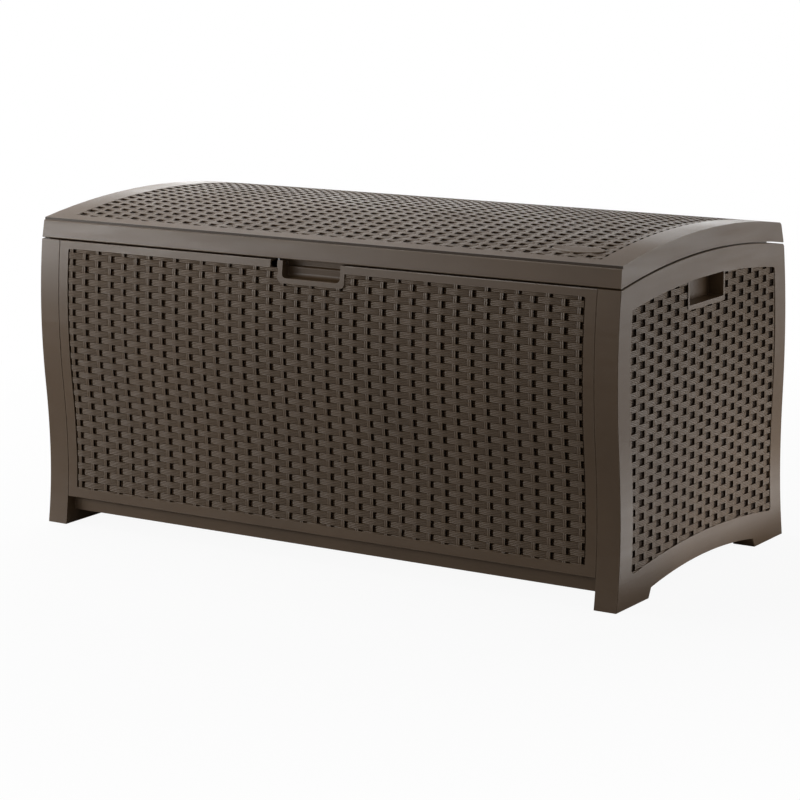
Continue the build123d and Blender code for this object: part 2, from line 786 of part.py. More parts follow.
def stay():
    """Right lid stay: flat steel strip with a pivot hole and a long slot for the stud."""
    outline = Pos(open_reach / 2, 0) * SlotCenterToCenter(open_reach, stay_width)
    slot_start = closed_reach - stay_lead
    slot_end = open_reach + stay_end_play
    slot_width = 2 * (stud_radius + stay_slot_clearance)
    slot = Pos((slot_start + slot_end) / 2, 0) * SlotCenterToCenter(slot_end - slot_start, slot_width)
    strip = outline - slot - Circle(pivot_radius + pin_clearance)
    towards_stud = (0, stud_y - pivot_y, stud_z - pivot_z)
    side = Plane(origin=(stay_inner, pivot_y, pivot_z), x_dir=towards_stud, z_dir=(1, 0, 0))
    return extrude(side * strip, amount=stay_thickness)


def guide_stud():
    """Headed stud pressed into a boss of the right end panel. The stay slides over its shank."""
    head_seat = stay_inner - seat_gap
    head = rod(stud_head_radius, head_seat - stud_head_length, head_seat, stud_y, stud_z)
    return head + rod(stud_radius, head_seat, pan_face - wall, stud_y, stud_z)


def pivot_rivet():
    """Rivet through the right lug and the end of the stay."""
    outer_seat = stay_outer + seat_gap + washer_thickness
    shank = rod(pivot_radius, lug_inner, outer_seat, pivot_y, pivot_z)
    inner_head = rod(pivot_head_radius, lug_inner - pivot_head_length, lug_inner, pivot_y, pivot_z)
    return shank + inner_head + rod(
        pivot_head_radius, outer_seat, outer_seat + pivot_head_length, pivot_y, pivot_z
    )


def washer(y, z):
    """Thin washer outside the right stay."""
    inner = stay_outer + seat_gap
    bore = rod(stud_radius + pin_clearance, inner - overcut, boss_face + overcut, y, z)
    return rod(stud_head_radius, inner, boss_face, y, z) - bore


def write(name, shape):
    """Writes one sub-part, or a group of like solids, to its own file."""
    solids = shape if isinstance(shape, list) else [shape]
    group = Compound(children=[Compound(solid.solids()) for solid in solids]) if len(solids) > 1 else shape
    export_step(group, os.path.join("parts", name + ".step"))


def main():
    """Builds and writes every sub-part."""
    os.makedirs("parts", exist_ok=True)
    end_panel = right_end_panel()
    screws = panel_screws()
    write("front_panel", front_panel())
    write("rear_panel", rear_panel())
    write("floor_panel", floor_panel())
    write("lid_shell", lid_shell())
    write("lock_tab", lock_tab())
    write("lock_tab_screws", lock_tab_screws())
    write("front_panel_screws", screws)
    write("rear_panel_screws", [mirror(screw, Plane.XZ) for screw in screws])
    write("floor_screws", floor_screws())
    for name, place in hinge_places.items():
        write("hinge_pin_" + name, hinge_pin(place))
    right_parts = {
        "end_panel": end_panel,
        "lid_stay": stay(),
        "guide_stud": guide_stud(),
        "guide_washer": washer(stud_y, stud_z),
        "pivot_rivet": pivot_rivet(),
        "pivot_washer": washer(pivot_y, pivot_z),
    }
    for name, shape in right_parts.items():
        write("right_" + name, shape)
        write("left_" + name, mirror(shape, Plane.YZ))


main()
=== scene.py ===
"""Garden deck box in brown moulded resin with a woven pattern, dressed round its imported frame."""
import math

import bpy
import numpy as np
from mathutils import Matrix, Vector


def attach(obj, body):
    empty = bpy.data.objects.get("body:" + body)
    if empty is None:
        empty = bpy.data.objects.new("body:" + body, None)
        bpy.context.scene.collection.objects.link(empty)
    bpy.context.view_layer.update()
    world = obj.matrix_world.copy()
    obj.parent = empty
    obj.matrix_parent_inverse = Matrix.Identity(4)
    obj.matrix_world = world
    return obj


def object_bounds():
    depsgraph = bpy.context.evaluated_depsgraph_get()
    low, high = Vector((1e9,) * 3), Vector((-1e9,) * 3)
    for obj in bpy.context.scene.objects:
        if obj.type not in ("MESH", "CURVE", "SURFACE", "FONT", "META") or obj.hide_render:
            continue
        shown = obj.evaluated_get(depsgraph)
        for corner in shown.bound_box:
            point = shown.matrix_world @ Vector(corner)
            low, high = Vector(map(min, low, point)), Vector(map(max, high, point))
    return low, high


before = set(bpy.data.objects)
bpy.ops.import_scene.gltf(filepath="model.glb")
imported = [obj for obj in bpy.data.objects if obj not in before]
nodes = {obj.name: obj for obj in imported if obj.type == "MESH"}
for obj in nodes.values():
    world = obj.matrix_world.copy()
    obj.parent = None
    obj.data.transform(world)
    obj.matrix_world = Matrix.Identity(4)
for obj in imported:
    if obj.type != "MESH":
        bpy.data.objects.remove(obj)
cad_low, cad_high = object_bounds()


# --- End panels: the two short sides, each moulded in one piece with its corner posts, feet and hand pocket.
# They are brown resin. The mould is lightly stippled, so the skin is satin, and corners are painted lighter
# as a highlight.
# The front and rear panels and the floor are screwed to them.
RESIN = (0.128, 0.079, 0.042, 1)
RESIN_DARK = (0.105, 0.064, 0.033, 1)
# Painted highlight: the lighter colour on edges and on the tops of the weave's reeds.
RESIN_HIGHLIGHT = (0.22, 0.16, 0.105, 1)
# Painted shade for the strip in the crease along the lid's front.
RESIN_CREASE_SHADE = (0.05, 0.030, 0.016, 1)
SMOOTH_ROUGHNESS = (0.31, 0.42)
SMOOTH_HIGHLIGHT = 0.8
NOISE_SPAN = (0.3, 0.7)
CREASE_FOOT_FADE = 0.0006
CREASE_FADE = 0.0008


def new_group(name, inputs, outputs):
    """An empty shader group with (name, kind, value) inputs and (name, kind) outputs.
    Gives its tree, its input node and its output node."""
    tree = bpy.data.node_groups.new(name, "ShaderNodeTree")
    for label, kind, value in inputs:
        socket = tree.interface.new_socket(name=label, in_out="INPUT", socket_type=kind)
        if value is not None:
            socket.default_value = value
    for label, kind in outputs:
        tree.interface.new_socket(name=label, in_out="OUTPUT", socket_type=kind)
    return tree, tree.nodes.new("NodeGroupInput"), tree.nodes.new("NodeGroupOutput")


def add_node(tree, kind, settings=(), values=(), links=()):
    """One shader node: settings are its attributes, values its plain sockets, links its fed sockets."""
    node = tree.nodes.new(kind)
    for name, value in dict(settings).items():
        setattr(node, name, value)
    for name, value in dict(values).items():
        node.inputs[name].default_value = value
    for name, source in dict(links).items():
        tree.links.new(source, node.inputs[name])
    return node


def worked_out(tree, operation, first, second=None):
    """Output of a Math node on one or two terms, each of them an output or a plain number."""
    node = add_node(tree, "ShaderNodeMath", settings={"operation": operation})
    for socket, term in zip(node.inputs, (first, second)):
        if isinstance(term, (int, float)):
            socket.default_value = term
        elif term is not None:
            tree.links.new(term, socket)
    return node.outputs["Value"]


def ranged(tree, source, span, result=(0.0, 1.0)):
    """Output of a Map Range node: source over span becomes result in a straight line, and stops there."""
    limits = {"From Min": span[0], "From Max": span[1], "To Min": result[0], "To Max": result[1]}
    return add_node(tree, "ShaderNodeMapRange", values=limits, links={"Value": source}).outputs["Result"]


def mixed(tree, factor, first, second):
    """Colour mix of two colours or colour outputs by a factor output."""
    mix = add_node(tree, "ShaderNodeMix", settings={"data_type": "RGBA"})
    tree.links.new(factor, mix.inputs["Factor"])
    for index, colour in ((6, first), (7, second)):
        if isinstance(colour, tuple):
            mix.inputs[index].default_value = colour
        else:
            tree.links.new(colour, mix.inputs[index])
    return mix.outputs[2]


def embossed(tree, height, strength, distance, under=None):
    """Normal output of a Bump node of height, laid over the normal output under where one is given."""
    links = {"Height": height} if under is None else {"Height": height, "Normal": under}
    size = {"Strength": strength, "Distance": distance}
    return add_node(tree, "ShaderNodeBump", values=size, links=links).outputs["Normal"]


def resin_skin_group():
    """Moulded skin from one coordinate: fine stipple as height, slow cloudy mottling, thin flow streaks."""
    tree, given, made = new_group(
        "resin_skin",
        [("Vector", "NodeSocketVector", None), ("Stipple", "NodeSocketFloat", 900.0)],
        [("Height", "NodeSocketFloat"), ("Mottle", "NodeSocketFloat"), ("Streak", "NodeSocketFloat")],
    )
    where = given.outputs["Vector"]
    drawn = add_node(tree, "ShaderNodeMapping", values={"Scale": (6.0, 6.0, 60.0)}, links={"Vector": where})
    for label, values, links in (
        ("Height", {"Detail": 3.0, "Roughness": 0.6}, {"Vector": where, "Scale": given.outputs["Stipple"]}),
        ("Mottle", {"Scale": 5.0, "Detail": 4.0, "Roughness": 0.55}, {"Vector": where}),
        ("Streak", {"Scale": 1.0, "Detail": 3.0, "Roughness": 0.5}, {"Vector": drawn.outputs["Vector"]}),
    ):
        noise = add_node(tree, "ShaderNodeTexNoise", values=values, links=links)
        tree.links.new(noise.outputs["Fac"], made.inputs[label])
    return tree


def edge_highlight_group():
    """Painted edge highlight mask: how far a softened normal leans from the face's own, times a share broken
    up by noise.
    """
    tree, given, made = new_group(
        "painted_edge_highlight",
        [("Vector", "NodeSocketVector", None), ("Width", "NodeSocketFloat", 0.003)],
        [("Mask", "NodeSocketFloat")],
    )
    width = given.outputs["Width"]
    soft = add_node(tree, "ShaderNodeBevel", settings={"samples": 4}, links={"Radius": width})
    own = add_node(tree, "ShaderNodeNewGeometry")
    lean = add_node(
        tree,
        "ShaderNodeVectorMath",
        settings={"operation": "DOT_PRODUCT"},
        links={0: soft.outputs["Normal"], 1: own.outputs["Normal"]},
    )
    patch = add_node(
        tree,
        "ShaderNodeTexNoise",
        values={"Scale": 60.0, "Detail": 4.0, "Roughness": 0.6},
        links={"Vector": given.outputs["Vector"]},
    )
    edge = ranged(tree, lean.outputs["Value"], (0.995, 0.90))
    patchy = ranged(tree, patch.outputs["Fac"], (0.35, 0.7), (0.25, 1.0))
    tree.links.new(worked_out(tree, "MULTIPLY", edge, patchy), made.inputs["Mask"])
    return tree


RESIN_SKIN = resin_skin_group()
EDGE_HIGHLIGHT = edge_highlight_group()


def material_base(name):
    """A new material. Gives it, its tree, its Principled shader and its Object coordinates."""
    material = bpy.data.materials.new(name)
    material.use_nodes = True
    tree = material.node_tree
    shader = tree.nodes["Principled BSDF"]
    place = tree.nodes.new("ShaderNodeTexCoord").outputs["Object"]
    return material, tree, shader, place


def resin_body(tree, skin, shader, roughness):
    """Feeds the shader's roughness from the skin's streaks, and gives the mottled resin colour."""
    tree.links.new(ranged(tree, skin.outputs["Streak"], NOISE_SPAN, roughness), shader.inputs["Roughness"])
    return mixed(tree, ranged(tree, skin.outputs["Mottle"], NOISE_SPAN), RESIN_DARK, RESIN)


def crease_shade_mask(tree, place, crease):
    """Share of the painted shade strip: 1 between the heights low and high and ahead of front y, falling to 0
    past each.
    """
    low, high, front = crease
    split = add_node(tree, "ShaderNodeSeparateXYZ", links={"Vector": place})
    above = ranged(tree, split.outputs["Z"], (low - CREASE_FOOT_FADE, low + CREASE_FOOT_FADE))
    below = ranged(tree, split.outputs["Z"], (high, high + CREASE_FADE), (1.0, 0.0))
    ahead = ranged(tree, split.outputs["Y"], (front, front + CREASE_FADE), (1.0, 0.0))
    return worked_out(tree, "MULTIPLY", worked_out(tree, "MULTIPLY", above, below), ahead)


def moulded_resin(name, roughness, highlight_strength, crease=None):
    """Satin brown resin: mottled colour, stippled bump, and edges painted lighter, a painted highlight as
    strong as highlight_strength.
    A crease (low z, high z, front y) is a strip painted darker than the rest, as painted shade in the crease."""
    material, tree, shader, place = material_base(name)
    skin = add_node(tree, "ShaderNodeGroup", settings={"node_tree": RESIN_SKIN}, links={"Vector": place})
    edge = add_node(tree, "ShaderNodeGroup", settings={"node_tree": EDGE_HIGHLIGHT}, links={"Vector": place})
    body = resin_body(tree, skin, shader, roughness)
    # Painted highlight along the edges, broken up in patches by noise.
    highlighted = worked_out(tree, "MULTIPLY", edge.outputs["Mask"], highlight_strength)
    colour = mixed(tree, highlighted, body, RESIN_HIGHLIGHT)
    # Painted shade in the crease strip.
    if crease:
        colour = mixed(tree, crease_shade_mask(tree, place, crease), colour, RESIN_CREASE_SHADE)
    tree.links.new(colour, shader.inputs["Base Color"])
    stippled = embossed(tree, skin.outputs["Height"], strength=0.35, distance=0.0004)
    tree.links.new(stippled, shader.inputs["Normal"])
    return material


def finish_node(name, material):
    """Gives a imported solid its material."""
    node = nodes[name]
    if not node.data.materials:
        node.data.materials.append(material)
    for slot in node.material_slots:
        slot.material = material


frame_resin = moulded_resin("frame_resin", SMOOTH_ROUGHNESS, SMOOTH_HIGHLIGHT)
finish_node("left_end_panel", frame_resin)
finish_node("right_end_panel", frame_resin)


# --- Basket weave: moulded in the sunk field of each wall and of the lid, of the same brown resin.
# Wide reeded bands pass over every second stake and dip under the next, and a pit is open beside each raised
# stake. The two end panels' fields are here; they follow the posts, between a crowned top and a crowned foot.
STAKE_PITCH = 0.03375
BAND_PITCH = 0.0132
STAKE_HALF = 0.0043
STAKE_DROP = 0.0006
END_PITS = (0.0180, 0.0152)
PIT_HALF_HEIGHT = 0.0058
PIT_DEPTH = 0.0033
PIT_RIM_DROP = 0.0012
LIP = 0.0005
WEAVE_TOP = 0.0003
BAND_DROP = 0.0030
BAND_ROUNDING = 0.0002
ROW_GROOVE = 0.0004
RISE_RUN = 0.0200
FALL_RUN = 0.0215
REEDS = 4
REED_POWER = 0.7
# Painted shade in the pits and in the gaps at the field's rim.
PIT_SHADE = (0.024, 0.014, 0.0075, 1)
# Painted shade in the grooves between the reeds.
REED_SHADE = (0.03, 0.018, 0.009, 1)
WEAVE_ROUGHNESS = (0.38, 0.48)
# Distances from the rim over which the painted shade of the gap fades out.
GAP_SHADE_SPAN = (0.0022, 0.0028)
FAR_FROM_RIM = 0.02
# Allowances that put a grid line on its own side of a step: across a strip, at a sheet's end, and in rows.
HAIR = 1e-6
LINE_GAP = 1e-4
ROW_SLACK = 0.01


def band_run(across, row, pits):
    """Place along one band: distance past the middle of the last raised stake, where that stake's pit ends,
    and whether it is on the stake. A raised stake stands where column + row is even, and the run starts again
    at its near edge."""
    column = np.floor((across + STAKE_HALF + HAIR) / STAKE_PITCH)
    start = column - (column + row) % 2
    run = across - start * STAKE_PITCH
    pit_end = np.where(start % 2 == 0, *pits)
    return run, pit_end, run <= STAKE_HALF + HAIR


def band_height(across, row, pits):
    """Height of a band: -BAND_DROP times what it lacks of its rise from the pit, plus what it has lost on its
    way down to the next stake. Raised stakes lie STAKE_DROP down. Also gives where a pit is."""
    run, pit_end, stake = band_run(across, row, pits)
    rise = np.clip((run - pit_end) / RISE_RUN, 0, 1)
    fall = np.clip((2 * STAKE_PITCH - STAKE_HALF - LIP - run) / FALL_RUN, 0, 1)
    height = np.where(stake, -STAKE_DROP, -BAND_DROP * ((1 - rise) + (1 - fall)))
    inside = (run > STAKE_HALF + LIP / 2) & (run < pit_end - LIP / 2)
    return height, inside


def weave_height(across, along, pits):
    """Height of the sheet under the border: bands rounded by the cube of the way to their edge, pits where
    the band has left its stake, and between two rows a groove below the lower of them."""
    upper = np.floor(along / BAND_PITCH + (0.5 + ROW_SLACK))
    lower = np.floor(along / BAND_PITCH + (0.5 - ROW_SLACK))
    high, pit = band_height(across, upper, pits)
    low, _ = band_height(across, lower, pits)
    off = np.abs(along - upper * BAND_PITCH) / (BAND_PITCH / 2)
    height = high - BAND_ROUNDING * off**3
    floor = pit & (off < (PIT_HALF_HEIGHT - LIP / 2) / (BAND_PITCH / 2))
    height = np.where(floor, -PIT_DEPTH, np.where(pit, -PIT_RIM_DROP, height))
    height = np.where(upper != lower, np.minimum(high, low) - ROW_GROOVE, height)
    return np.clip(height, -PIT_DEPTH, 0) - WEAVE_TOP


def weave_masks(across, along, pits):
    """Pit and stake shares of the faces, from their middles."""
    row = np.round(along / BAND_PITCH)
    run, pit_end, stake = band_run(across, row, pits)
    off = np.abs(along - row * BAND_PITCH)
    pit = ~stake & (run < pit_end) & (off < PIT_HALF_HEIGHT)
    return pit.astype(float), stake.astype(float)


def stops(low, high, pitch, phase, offsets):
    """Sorted grid lines from low to high: each offset repeated at the pitch, with both ends."""
    first = math.floor((low - phase) / pitch) - 1
    last = math.ceil((high - phase) / pitch) + 1
    lines = (phase + pitch * np.arange(first, last + 1)[:, None] + np.array(offsets)[None, :]).ravel()
    lines = np.sort(lines[(lines > low + LINE_GAP) & (lines < high - LINE_GAP)])
    return np.concatenate([[low], lines, [high]])


STAKE_LINES = (-0.0170, -0.0105, -STAKE_HALF - LIP, -STAKE_HALF, STAKE_HALF, STAKE_HALF + LIP)
ROW_LINES = (
    -BAND_PITCH / 2,
    -PIT_HALF_HEIGHT,
    -PIT_HALF_HEIGHT + LIP,
    0.0,
    PIT_HALF_HEIGHT - LIP,
    PIT_HALF_HEIGHT,
)
SHARP_ANGLE = math.radians(35)


def sheet_mesh(name, points, kept, cells, masks, rim, flip):
    """Grid of points as quads where kept is true, turned over by flip.
    Cell coordinates become the UV map, masks face attributes, and rim distance a point attribute."""
    rows, columns = points.shape[:2]
    index = np.arange(rows * columns).reshape(rows, columns)
    quads = np.stack([index[:-1, :-1], index[:-1, 1:], index[1:, 1:], index[1:, :-1]], -1)[kept]
    if flip:
        quads = quads[:, ::-1]
    used, renamed = np.unique(quads, return_inverse=True)
    quads = renamed.reshape(-1, 4)
    mesh = bpy.data.meshes.new(name)
    mesh.from_pydata(points.reshape(-1, 3)[used].tolist(), [], quads.tolist())
    uv = mesh.uv_layers.new(name="weave")
    uv.data.foreach_set("uv", cells.reshape(-1, 2)[used][quads.ravel()].astype(np.float32).ravel())
    for label, values in zip(("pit", "stake"), masks):
        share = mesh.attributes.new(label, "FLOAT", "FACE")
        share.data.foreach_set("value", values[kept].astype(np.float32))
    distance = mesh.attributes.new("rim", "FLOAT", "POINT")
    distance.data.foreach_set("value", rim.ravel()[used].astype(np.float32))
    mesh.polygons.foreach_set("use_smooth", np.ones(len(quads), bool))
    mesh.set_sharp_from_angle(angle=SHARP_ANGLE)
    piece = bpy.data.objects.new(name, mesh)
    bpy.context.scene.collection.objects.link(piece)
    return piece


def woven_sheet(name, body, across_range, along_range, phase, side, pits, place, covered, rim, flip):
    """One woven field, with its pits on the side (1 or -1) of their stakes.
    place(across, along, height) gives its points in metres, covered(across, along) the faces kept, and
    rim(across, along) the distance from the gap at its edge, which is painted in shade."""
    lines = [
        side * (column * STAKE_PITCH + line)
        for column, pit_end in enumerate(pits)
        for line in (*STAKE_LINES, pit_end - LIP, pit_end)
    ]
    across = stops(*across_range, 2 * STAKE_PITCH, phase[0], lines)
    along = stops(*along_range, BAND_PITCH, phase[1], ROW_LINES)
    grid_across, grid_along = np.meshgrid(across, along)
    height = weave_height(side * (grid_across - phase[0]), grid_along - phase[1], pits)
    cells = np.stack([(grid_across - phase[0]) / STAKE_PITCH, (grid_along - phase[1]) / BAND_PITCH], -1)
    middle_across, middle_along = np.meshgrid((across[1:] + across[:-1]) / 2, (along[1:] + along[:-1]) / 2)
    masks = weave_masks(side * (middle_across - phase[0]), middle_along - phase[1], pits)
    kept = covered(middle_across, middle_along)
    points = place(grid_across, grid_along, height)
    piece = sheet_mesh(name, points, kept, cells, masks, rim(grid_across, grid_along), flip)
    piece.data.materials.append(weave_resin)
    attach(piece, body)


def ridges(tree, source, count):
    """Ridge height from 0 to 1: |sin(count pi source)| to the power REED_POWER."""
    wave = worked_out(tree, "SINE", worked_out(tree, "MULTIPLY", source, count * math.pi))
    return worked_out(tree, "POWER", worked_out(tree, "ABSOLUTE", wave), REED_POWER)


def woven_resin():
    """Reeded bands: fine ridges along each band, painted shade between them and a painted highlight along
    their tops, and two along each raised stake. Pits and the gap at the rim are painted in shade and
    metallic, so they don't shine."""
    material, tree, shader, place = material_base("woven_resin")
    skin = add_node(tree, "ShaderNodeGroup", settings={"node_tree": RESIN_SKIN}, links={"Vector": place})
    cell = add_node(tree, "ShaderNodeUVMap", settings={"uv_map": "weave"})
    split = add_node(tree, "ShaderNodeSeparateXYZ", links={"Vector": cell.outputs["UV"]})
    pit, stake, rim = [
        add_node(tree, "ShaderNodeAttribute", settings={"attribute_name": label}).outputs["Fac"]
        for label in ("pit", "stake", "rim")
    ]
    along_band = ridges(tree, split.outputs["Y"], REEDS)
    along_stake = ridges(tree, split.outputs["X"], STAKE_PITCH / STAKE_HALF)
    relief = add_node(
        tree,
        "ShaderNodeMix",
        settings={"data_type": "FLOAT"},
        links={"Factor": stake, "A": along_band, "B": along_stake},
    ).outputs["Result"]
    body = resin_body(tree, skin, shader, WEAVE_ROUGHNESS)
    # Painted shade in the grooves between the reeds, where the relief is low.
    shaded = mixed(tree, ranged(tree, relief, (0.0, 0.8), (0.4, 0.0)), body, REED_SHADE)
    # Painted highlight along the tops of the reeds.
    highlighted_ridges = mixed(tree, ranged(tree, relief, (0.88, 1.0), (0.0, 0.5)), shaded, RESIN_HIGHLIGHT)
    # Painted shade in the pits and the rim gaps, made metallic there so that the painted shade has no sheen.
    pit_and_gap_shade = worked_out(tree, "MAXIMUM", pit, ranged(tree, rim, GAP_SHADE_SPAN, (1.0, 0.0)))
    tree.links.new(mixed(tree, pit_and_gap_shade, highlighted_ridges, PIT_SHADE), shader.inputs["Base Color"])
    tree.links.new(pit_and_gap_shade, shader.inputs["Metallic"])
    reeded = embossed(tree, relief, strength=1.0, distance=0.0009)
    stippled = embossed(tree, skin.outputs["Height"], strength=0.25, distance=0.0003, under=reeded)
    tree.links.new(stippled, shader.inputs["Normal"])
    return material


weave_resin = woven_resin()

# The wall line from foot to rim: four arcs of (level where it is upright, drop there, way it bends, radius).
WALL_ARCS = (
    (0.160, 0.0135, -1, 0.9549),
    (0.160, 0.0135, -1, 1.4576),
    (0.435, 0.0005, 1, 1.4576),
    (0.435, 0.0005, 1, 1.2458),
)
WALL_TURNS = (0.160, 0.2975, 0.435)
END_FACE = cad_high.x
HALF_DEPTH = cad_high.y
END_MARGIN = 0.048
END_OVERLAP = 0.002
END_TOP = (0.5885, 2.0017)
END_FOOT = (0.084, 1.936)
POCKET_HALF = 0.073
POCKET_FOOT = 0.535
# A strip of painted shade in the weave beside the hand pocket's front side.
POCKET_GAP_MIDDLE = -0.0795
POCKET_GAP_HALF = 0.0015
POCKET_GAP_FOOT = 0.532


def wall_drop(z):
    """How far the S-shaped wall line stands back from the foot's line at height z.
    Four arcs meet smoothly: each is its drop where it is upright, and what its circle adds or takes."""
    arc = np.searchsorted(WALL_TURNS, z)
    level, base, sign, radius = (np.array(column)[arc] for column in zip(*WALL_ARCS))
    return base + sign * (radius - np.sqrt(radius**2 - (z - level) ** 2))


def crowned(y, middle, radius):
    """Height at y of an arc of that radius, which is highest, at middle, where y is 0."""
    return middle - (radius - np.sqrt(radius**2 - y**2))


def end_field(y, z):
    """True inside the end field's outline, a little into its border, and outside the hand pocket's block."""
    side = np.abs(y) < HALF_DEPTH - wall_drop(z) - END_MARGIN + END_OVERLAP
    top = crowned(y, *END_TOP) + END_OVERLAP
    foot = crowned(y, *END_FOOT) - END_OVERLAP
    pocket = (np.abs(y) < POCKET_HALF) & (z > POCKET_FOOT)
    return side & (z < top) & (z > foot) & ~pocket


def end_rim(y, z):
    """Distance from the field's upright sides and from the hand pocket's front side, where gaps are painted
    in shade.
    """
    side = HALF_DEPTH - wall_drop(z) - END_MARGIN - np.abs(y)
    pocket = np.where(z > POCKET_GAP_FOOT, np.abs(y - POCKET_GAP_MIDDLE) - POCKET_GAP_HALF, 1.0)
    return np.clip(np.minimum(side, pocket), -FAR_FROM_RIM, FAR_FROM_RIM)


for name, outward in (("right_end_weave", 1), ("left_end_weave", -1)):
    woven_sheet(
        name,
        "box",
        across_range=(-0.312, 0.312),
        along_range=(0.052, 0.592),
        phase=(-0.2414, 0.562),
        side=-1,
        pits=END_PITS,
        place=lambda y, z, height, outward=outward: np.stack([outward * (END_FACE + height), y, z], -1),
        covered=end_field,
        rim=end_rim,
        flip=outward < 0,
    )


# --- Front panel: a tray of the same resin with a woven field, a framed finger recess at the top middle and a
# lock notch. It drops between the corner posts and is screwed to them from inside.
WALL_PITS = (0.0117, 0.0103)
FIELD_HALF = 0.6184
FIELD_FOOT = 0.080
FIELD_TOP = 0.592
FIELD_OVERLAP = 0.0006
GRIP_HALF = 0.0795
GRIP_FOOT = 0.563
GRIP_OVERLAP = 0.004
finish_node("front_panel", frame_resin)


def front_field(x, z):
    """True outside the finger recess and its frame."""
    return ~((np.abs(x) < GRIP_HALF - GRIP_OVERLAP) & (z > GRIP_FOOT + GRIP_OVERLAP))


def long_wall_sheet(name, outward, covered):
    """Woven field of a long wall, on the front for outward -1 and on the back for 1, along the wall line."""
    woven_sheet(
        name,
        "box",
        across_range=(-FIELD_HALF - FIELD_OVERLAP, FIELD_HALF + FIELD_OVERLAP),
        along_range=(FIELD_FOOT - FIELD_OVERLAP, FIELD_TOP + FIELD_OVERLAP),
        phase=(-0.57575, 0.5777),
        side=1,
        pits=WALL_PITS,
        place=lambda x, z, height: np.stack([x, outward * (HALF_DEPTH - wall_drop(z) + height), z], -1),
        covered=covered,
        # Distance from the field's ends, where a gap is painted in shade.
        rim=lambda x, z: np.clip(FIELD_HALF - np.abs(x), -FAR_FROM_RIM, FAR_FROM_RIM),
        flip=outward > 0,
    )


long_wall_sheet("front_weave", -1, front_field)


# --- Rear panel: the same tray without a recess, with three sets of hinge knuckles moulded along its top.
# It is screwed to the corner posts from inside, and steel pins join its knuckles to those of the lid.
finish_node("rear_panel", frame_resin)
long_wall_sheet("rear_weave", 1, lambda x, z: np.isfinite(x))


# --- Floor: a ribbed deck of the same resin, duller and with a fainter painted edge highlight than the walls.
# It rests on the ledges of the four walls and is screwed down to them.
FLOOR_ROUGHNESS = (0.48, 0.62)
FLOOR_HIGHLIGHT = 0.3
finish_node("floor_panel", moulded_resin("floor_resin", FLOOR_ROUGHNESS, FLOOR_HIGHLIGHT))


# --- Lid: a shallow arched shell of the same resin, ribbed below, with a smooth border round a woven field.
# A bare oval plate stands in the weave near the front right corner. Pins along the back hinge the lid.
LID_CREST = cad_high.z
LID_RADIUS = 1.9469
LID_HALF_X = 0.629
LID_HALF_Y = 0.302
LID_PITS = (0.0150, 0.0130)
# The strip of painted shade in the crease along the lid's front: low z, high z, front y.
LID_CREASE = (0.6475, 0.6522, -0.3286)
PLATE_CENTRE = (0.553, -0.252)
PLATE_HALF = (0.0575, 0.0195)
PLATE_UNDERLAP = 0.72
PLATE_SINK = 0.0004
PLATE_POINTS = 96
finish_node("lid_shell", moulded_resin("lid_resin", SMOOTH_ROUGHNESS, SMOOTH_HIGHLIGHT, LID_CREASE))


def lid_place(x, y, height):
    """Points over the lid's arch: a circle through the crest, with the height along its radius."""
    reach = LID_RADIUS + height
    lean = y / LID_RADIUS
    return np.stack([x, reach * lean, LID_CREST - LID_RADIUS + reach * np.sqrt(1 - lean**2)], -1)


def lid_field(x, y):
    """True outside the oval plate, but for a strip that runs under its edge."""
    oval = ((x - PLATE_CENTRE[0]) / PLATE_HALF[0]) ** 2 + ((y - PLATE_CENTRE[1]) / PLATE_HALF[1]) ** 2
    return oval > PLATE_UNDERLAP


woven_sheet(
    "lid_weave",
    "lid",
    across_range=(-LID_HALF_X - FIELD_OVERLAP, LID_HALF_X + FIELD_OVERLAP),
    along_range=(-LID_HALF_Y - FIELD_OVERLAP, LID_HALF_Y + FIELD_OVERLAP),
    phase=(0.3142, -0.2865),
    side=1,
    pits=LID_PITS,
    place=lid_place,
    covered=lid_field,
    rim=lambda x, y: FAR_FROM_RIM + 0 * x,
    flip=False,
)


def oval_plate():
    """Plate: rings from the middle out, each a share of the PLATE_HALF oval at its own rise over the arch.
    They make it slightly domed, with a raised rim and a turned-down edge."""
    share = np.array([0.0, 0.3, 0.6, 0.8, 0.86, 0.90, 0.955, 0.985, 1.0, 1.0])
    rise = np.array([0.0009, 0.0009, 0.0008, 0.0007, 0.0007, 0.0013, 0.0013, 0.0009, 0.0002, -0.0042])
    turn = np.linspace(0, 2 * math.pi, PLATE_POINTS + 1)[:-1]
    x = PLATE_CENTRE[0] + PLATE_HALF[0] * share[:, None] * np.cos(turn)
    y = PLATE_CENTRE[1] + PLATE_HALF[1] * share[:, None] * np.sin(turn)
    points = lid_place(x, y, rise[:, None] + 0 * turn - PLATE_SINK).reshape(-1, 3)
    ring = np.arange(PLATE_POINTS)
    start = np.arange(1, len(share) - 1)[:, None] * PLATE_POINTS
    following = (ring + 1) % PLATE_POINTS
    inner, outer = start, start + PLATE_POINTS
    quads = np.stack([inner + ring, outer + ring, outer + following, inner + following], -1)
    fan = np.stack([0 * ring, PLATE_POINTS + ring, PLATE_POINTS + following], -1)
    mesh = bpy.data.meshes.new("lid_plate")
    used, renamed = np.unique(np.concatenate([fan.ravel(), quads.ravel()]), return_inverse=True)
    faces = renamed[: fan.size].reshape(-1, 3).tolist() + renamed[fan.size :].reshape(-1, 4).tolist()
    mesh.from_pydata(points[used].tolist(), [], faces)
    mesh.polygons.foreach_set("use_smooth", np.ones(len(faces), bool))
    piece = bpy.data.objects.new("lid_plate", mesh)
    bpy.context.scene.collection.objects.link(piece)
    return piece


plate = oval_plate()
plate.data.materials.append(frame_resin)
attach(plate, "lid")


